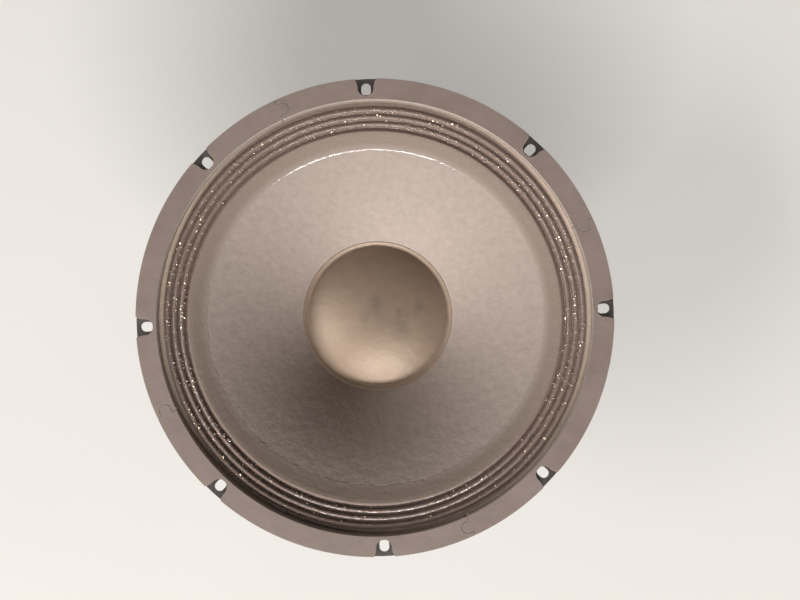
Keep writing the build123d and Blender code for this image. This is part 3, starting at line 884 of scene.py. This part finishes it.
def surround():
    """The doped cloth edge, uneven where the dope has run, with a glue rim that stands proud towards +Y."""
    front = surround_line()
    back = []
    for point, below in zip(front, moved_right(front, surround_t)):
        share = min(max((point.x - glue_edge_r) / glue_feather, glue_least_share), 1)
        back.append(point.lerp(below, share))
    piece = turned("surround_cloth", front + back[::-1], surround_turns)
    ruffled(piece, surround_waves, calm_r=glue_edge_r, full_r=shoulder_r)
    for vertex in piece.data.vertices:
        spot = Vector((vertex.co.x, vertex.co.y, 0))
        outwards = spot.normalized()
        near = min(max((glue_full_r - spot.length) / glue_feather, 0), 1)
        vertex.co += outwards * near * glue_edge_wander * noise.noise(spot / glue_wander_size)
        drop = min(glue_lift_turn * (1 - outwards.y), 1)
        vertex.co.z -= glue_lift_h * near**glue_lift_power * drop
    dressed(piece, "doped_cloth")
    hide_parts("surround")
    blend_outwards(piece, shoulder_r, foot_r)
    return piece


def flake(draw):
    """A shallow lens of dope with a skirt, about 2 across, as points and faces."""
    bulge = draw.uniform(*flake_bulge)
    rings = [(reach, bulge * share) for reach, share in flake_rings]
    rings.append(flake_skirt)
    wobble = [draw.uniform(*flake_wobble) for i in range(flake_sides)]
    points = [Vector((0, 0, bulge))]
    for reach, height in rings:
        for i in range(flake_sides):
            angle = 2 * pi * i / flake_sides
            points.append(Vector((reach * wobble[i] * cos(angle), reach * wobble[i] * sin(angle), height)))
    faces = [(0, 1 + i, 1 + (i + 1) % flake_sides) for i in range(flake_sides)]
    for ring in range(len(rings) - 1):
        for i in range(flake_sides):
            a, b = 1 + ring * flake_sides + i, 1 + ring * flake_sides + (i + 1) % flake_sides
            faces.append((a, a + flake_sides, b + flake_sides, b))
    return points, faces


def dope_beads():
    """Flakes of dope on the rolls, tilted all ways so that some of them glint, and fewer towards -Y to stand
    in for shade there.
    """
    draw = random.Random(flake_seed)
    line = surround_line()
    radii = [p.x for p in line]
    heights = [p.y for p in line]
    ridges = [first_ridge_r - i * roll_pitch for i in range(roll_count)]
    parts = []
    for _ in range(flake_tries):
        r = draw.choice(ridges) + draw.gauss(0, flake_scatter)
        angle = draw.uniform(0, 2 * pi)
        # Flakes are thinned out towards -Y, where they stand in for the gasket's shadow that hides glints.
        if sin(angle) < draw.uniform(*flake_limit):
            continue
        size = draw.uniform(*flake_size)
        centre = Vector((r * cos(angle), r * sin(angle), float(np.interp(r, radii, heights))))
        tilt = Matrix.Rotation(draw.uniform(0, 2 * pi), 3, "Z")
        tilt = tilt @ Matrix.Rotation(radians(draw.uniform(*flake_tilt_degrees)), 3, "Y")
        points, faces = flake(draw)
        parts.append(([centre + tilt @ p * size for p in points], faces))
    piece = new_object("dope_beads", *joined(parts))
    dressed(piece, "dope")
    blend_outwards(piece, shoulder_r, foot_r)
    return piece


def cone():
    """The paper cone, with its neck and its glue rim."""
    centre, radius = cone_arc()
    foot = Vector((neck_r, z_neck)) - centre
    rim = Vector((cone_r, z_cone)) - centre
    front = [Vector((neck_r, neck_foot))]
    front += arc(centre, radius, atan2(foot.y, foot.x), atan2(rim.y, rim.x), count=110)
    front += divided([Vector((cone_r, z_cone)), Vector((cone_edge_r, z_cone_edge))], cone_rim_step)[1:]
    piece = turned("cone_paper_body", sheet_loop(front, cone_t), cone_turns)
    ruffled(piece, cone_waves)
    dressed(piece, "cone_paper")
    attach(piece, "diaphragm")
    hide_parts("cone")
    return piece


def dust_cap():
    """The paper dome with its glued lip, a little uneven."""
    mid_r = cap_dome_r + cap_lip_w / 2
    lip_mid = Vector((mid_r, cone_front(mid_r)))
    inward = direction(lip_mid, cone_arc()[0])
    slope = -inward.x / inward.y

    def lip(r, height):
        """A point at a height over the line along which the lip lies on the cone."""
        rise = height * sqrt(1 + slope**2)
        return Vector((r, lip_mid.y + slope * (r - lip_mid.x) + rise))

    base = lip(cap_dome_r, glue_gap + cap_t)
    sphere_r = (cap_dome_r**2 + cap_dome_h**2) / (2 * cap_dome_h)
    middle = Vector((0, base.y + cap_dome_h - sphere_r))
    edge_angle = atan2(base.y - middle.y, base.x)
    front = arc(middle, sphere_r, pi / 2, edge_angle, count=72)
    lip_end = cap_dome_r + cap_lip_w
    lip_line = [base]
    lip_line.append(lip(lip_end - cap_lip_feather, glue_gap + cap_lip_t))
    lip_line.append(lip(lip_end + cap_lip_feather, -cap_lip_tuck))
    front += divided(lip_line, cap_lip_step)[1:]
    back = [lip(lip_end, -2 * cap_lip_tuck), lip(cap_dome_r - cap_t, glue_gap)]
    inside_angle = atan2(back[1].y - middle.y, back[1].x)
    back += arc(middle, sphere_r - cap_t, inside_angle, pi / 2, count=30)
    piece = turned("dust_cap_dome", front + back, disc_turns)
    ruffled(piece, cap_waves)
    dressed(piece, "cap_paper")
    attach(piece, "diaphragm")
    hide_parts("dust_cap")
    return piece


def spider():
    """The corrugated cloth disc that centres the coil."""
    level = z_spider - spider_collar_h
    collar_r = former_r + soft_gap + spider_t
    inner = collar_r + spider_flat
    pitch = (ledge_in_r - inner) / spider_rolls
    corners = [(collar_r, z_spider), (collar_r, level), (inner, level)]
    for i in range(spider_rolls):
        corners.append((inner + (i + 0.25) * pitch, level + spider_rise))
        corners.append((inner + (i + 0.75) * pitch, level - spider_rise))
    corners += [(ledge_in_r, level), (spider_out_r, level)]
    front = divided(rounded(corners, [spider_bend] * (len(corners) - 2)), spider_step)
    piece = turned("spider_cloth_disc", sheet_loop(front, spider_t), disc_turns)
    ruffled(piece, spider_waves)
    dressed(piece, "spider_cloth")
    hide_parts("spider")
    blend_outwards(piece, inner, ledge_in_r)
    return piece


# Terminals and leads

basket_rim_h = 0.0180
wall_foot = (0.0900, 0.0525)
wall_top = (rim_r, z_flange - basket_rim_h)
terminal_along = 0.0340
board_stand = 0.0045
board_t = 0.0024
terminal_angle = radians(292.5)
post_half = 0.0180
post_side = {"positive": 1, "negative": -1}
lug_reach = 0.0080
lug_t = 0.0008
spring_turns = 6
spring_turn_steps = 36
spring_sides = 12
spring_wire_d = 0.0007
spring_r = 0.00325
spring_seat = 0.0002
cap_foot = 0.0081
cap_recess_h = 0.0050
lead_d = 0.0018
lead_lay = 0.0075
strand_count = 6
strand_sides = 8
core_swell = 1.3
lead_exit = 0.0120
lead_entry = 0.0105
lead_hump = ((0.35, 0.0070), (0.70, 0.0050))
pad_angle = radians(20)
pad_t = 0.0012
lead_room = 0.0062
z_pad = z_spider + lead_room / 2


def terminal_frame():
    """The terminal strip's own axes: X across the spoke, Y up along it, Z away from the basket."""
    up = direction(wall_foot, wall_top)
    out = Vector((up.y, -up.x))
    foot = Vector(wall_foot) + up * terminal_along + out * board_stand
    radial = Vector((cos(terminal_angle), sin(terminal_angle), 0))
    axis = Vector((0, 0, 1))
    across = Vector((-radial.y, radial.x, 0))
    columns = [across, radial * up.x + axis * up.y, radial * out.x + axis * out.y]
    turn = Matrix(columns).transposed().to_4x4()
    return Matrix.Translation(radial * foot.x + axis * foot.y) @ turn


def push_spring(name):
    """The coil spring under a cap."""
    low = board_t + spring_wire_d / 2 + spring_seat
    high = cap_foot + cap_recess_h - spring_wire_d / 2 - spring_seat
    steps = spring_turn_steps * spring_turns
    to_frame = terminal_frame() @ Matrix.Translation((post_side[name] * post_half, 0, 0))
    points = []
    for i in range(steps + 1):
        angle = 2 * pi * spring_turns * i / steps
        height = low + (high - low) * i / steps
        points.append(to_frame @ Vector((spring_r * cos(angle), spring_r * sin(angle), height)))
    piece = new_object(f"push_spring_{name}_wire", *tube_data(points, spring_wire_d / 2, spring_sides))
    dressed(piece, "spring_steel")
    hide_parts(f"push_spring_{name}")
    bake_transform(piece)
    return piece


def lead_route(name):
    """The lead's own points: square off the lug, in a low arch, and square onto the pad."""
    side = post_side[name]
    to_frame = terminal_frame()
    start = to_frame @ Vector((side * post_half, -lug_reach, -lug_t))
    leave = to_frame @ Vector((side * post_half, -lug_reach, -lug_t - lead_exit))
    angle = terminal_angle + side * pad_angle
    outwards = Vector((cos(angle), sin(angle), 0))
    end = outwards * (former_r + pad_t) + Vector((0, 0, z_pad))
    arrive = end + outwards * lead_entry
    arch = [leave.lerp(arrive, share) + Vector((0, 0, rise)) for share, rise in lead_hump]
    return [start, leave, *arch, arrive, end]


def smooth_line(name, points):
    """Points along the smooth curve that a route's points control."""
    curve = bpy.data.curves.new(name, "CURVE")
    curve.dimensions = "3D"
    curve.resolution_u = 24
    spline = curve.splines.new("NURBS")
    spline.points.add(len(points) - 1)
    for control, point in zip(spline.points, points):
        control.co = (*point, 1)
    spline.order_u = 3
    spline.use_endpoint_u = True
    holder = bpy.data.objects.new(name, curve)
    bpy.context.scene.collection.objects.link(holder)
    bpy.context.view_layer.update()
    mesh = bpy.data.meshes.new_from_object(holder)
    line = [v.co.copy() for v in mesh.vertices]
    bpy.data.objects.remove(holder)
    bpy.data.meshes.remove(mesh)
    return line


def tinsel_lead(name):
    """A limp lead of strands laid around a core, three strands across."""
    route = lead_route(name)
    line = smooth_line(f"lead_line_{name}", route)
    strand_r = lead_d / 6
    parts = [tube_data(line, strand_r * core_swell, strand_sides)]
    side = direction(line[0], line[1]).orthogonal().normalized()
    frames, travel = [], 0.0
    for i, point in enumerate(line):
        run = direction(line[max(i - 1, 0)], line[min(i + 1, len(line) - 1)])
        side = (side - run * side.dot(run)).normalized()
        travel += (point - line[max(i - 1, 0)]).length
        frames.append((point, side.copy(), run.cross(side), travel))
    for k in range(strand_count):
        strand = []
        for point, a, b, along in frames:
            angle = 2 * pi * (k / strand_count + along / lead_lay)
            strand.append(point + (a * cos(angle) + b * sin(angle)) * 2 * strand_r)
        parts.append(tube_data(strand, strand_r, strand_sides))
    piece = new_object(f"tinsel_lead_{name}_strands", *joined(parts))
    dressed(piece, "tinsel_braid")
    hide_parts(f"tinsel_lead_{name}")
    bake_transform(piece)
    return piece


for index in range(gasket_count):
    gasket_segment(index)
surround()
dope_beads()
cone()
dust_cap()
spider()
for name in post_side:
    push_spring(name)
    tinsel_lead(name)

# Nodes that keep their solid's shape
kept = {
    "black_steel": ["basket"],
    "plated_steel": ["top_plate", "back_plate", "pole_piece"],
    "ferrite": ["magnet"],
    "screen_steel": ["vent_screen"],
    "rivet_steel": ["basket_rivets", "terminal_rivets"],
    "former_foil": ["coil_former"],
    "coil_wire": ["voice_coil"],
    "board_fibre": ["terminal_board"],
    "post_brass": ["terminal_post_positive", "terminal_post_negative"],
    "red_plastic": ["push_cap_positive"],
    "black_plastic": ["push_cap_negative"],
    "lug_tin": ["solder_lug_positive", "solder_lug_negative", "lead_pad_positive", "lead_pad_negative"],
}
for finish, names in kept.items():
    for name in names:
        for slot in nodes[name].material_slots:
            slot.material = finishes[finish]


# Stage, light and camera

floor_half = 12.0
floor_fade = (1.0, 3.5)
floor_glow = 0.20
lamp_distance = 5.0
world_dim = 0.08
world_seen = 0.80
sensor_mm = 36.0
camera_height = 0.3846
focal_px = 600.0
image_size = (800, 600)
flange_centre_px = (375.2, 317.6)
picture_turn = radians(2.3)


def seen_ray(tree):
    """1 for what the camera sees, straight or in a reflection, and 0 for light on the object."""
    path = add(tree, "LightPath")
    seen = calc(tree, "MAXIMUM", path.outputs["Is Camera Ray"], path.outputs["Is Glossy Ray"])
    return calc(tree, "MAXIMUM", seen, path.outputs["Is Transmission Ray"])


def floor():
    """A plain pale floor under the back plate, which fades out far away and is clear from below."""
    sides = ((-1, -1), (1, -1), (1, 1), (-1, 1))
    corners = [(x * floor_half, y * floor_half, 0) for x, y in sides]
    piece = new_object("floor", corners, [(0, 1, 2, 3)])
    glow = colour(1.0, 0.97, 0.93)
    material, tree, shader = new_material("pale_floor", roughness=0.9, emission_color=glow)
    clouds = cloud(tree, place(tree), 0.25, 2.0)
    tone = mixed(tree, clouds, colour(0.49, 0.47, 0.44), colour(0.53, 0.51, 0.48))
    above = calc(tree, "SUBTRACT", 1.0, add(tree, "NewGeometry").outputs["Backfacing"])
    near = spread(tree, radius_of(tree, place(tree)), *floor_fade, 1.0, 0.0)
    wire(tree, shader, base_color=tone, alpha=calc(tree, "MULTIPLY", above, near),
         emission_strength=calc(tree, "MULTIPLY", seen_ray(tree), floor_glow))
    piece.data.materials.append(material)


def lamp(name, angle, elevation, size, power):
    """A soft lamp of a given width and height that faces the middle of the driver."""
    light = bpy.data.lights.new(name, "AREA")
    light.shape = "RECTANGLE"
    light.size, light.size_y = size
    light.energy = power
    piece = bpy.data.objects.new(name, light)
    away = Vector((cos(angle) * cos(elevation), sin(angle) * cos(elevation), sin(elevation)))
    piece.location = Vector((0, 0, z_flange)) + away * lamp_distance
    piece.rotation_euler = away.to_track_quat("Z", "Y").to_euler()
    piece.visible_camera = False
    bpy.context.scene.collection.objects.link(piece)


def world_light():
    """An even dim surround that looks pale to the camera and in reflections."""
    world = bpy.data.worlds.new("surroundings")
    bpy.context.scene.world = world
    world.use_nodes = True
    tree = world.node_tree
    seen = seen_ray(tree)
    tone = mixed(tree, seen, colour(1.0, 0.87, 0.75), colour(1.0, 0.98, 0.95))
    strength = spread(tree, seen, 0.0, 1.0, world_dim, world_seen)
    wire(tree, tree.nodes["Background"], color=tone, strength=strength)


def camera():
    """A camera that looks straight down on the cone, a little off its axis."""
    data = bpy.data.cameras.new("camera")
    data.sensor_width = sensor_mm
    data.lens = data.sensor_width * focal_px / image_size[0]
    piece = bpy.data.objects.new("camera", data)
    bpy.context.scene.collection.objects.link(piece)
    right = (image_size[0] / 2 - flange_centre_px[0]) / focal_px * camera_height
    up = (flange_centre_px[1] - image_size[1] / 2) / focal_px * camera_height
    turn = Matrix.Rotation(-picture_turn, 4, "Z")
    piece.location = turn @ Vector((right, up, z_flange + camera_height))
    piece.rotation_euler = turn.to_euler()
    bpy.context.scene.camera = piece


floor()
lamp("key", angle=radians(270), elevation=radians(30.5), size=(4.4, 0.4), power=400.0)
lamp("side", angle=radians(195), elevation=radians(29), size=(3.6, 1.0), power=205.0)
world_light()
camera()
bpy.context.scene.view_settings.view_transform = "Standard"
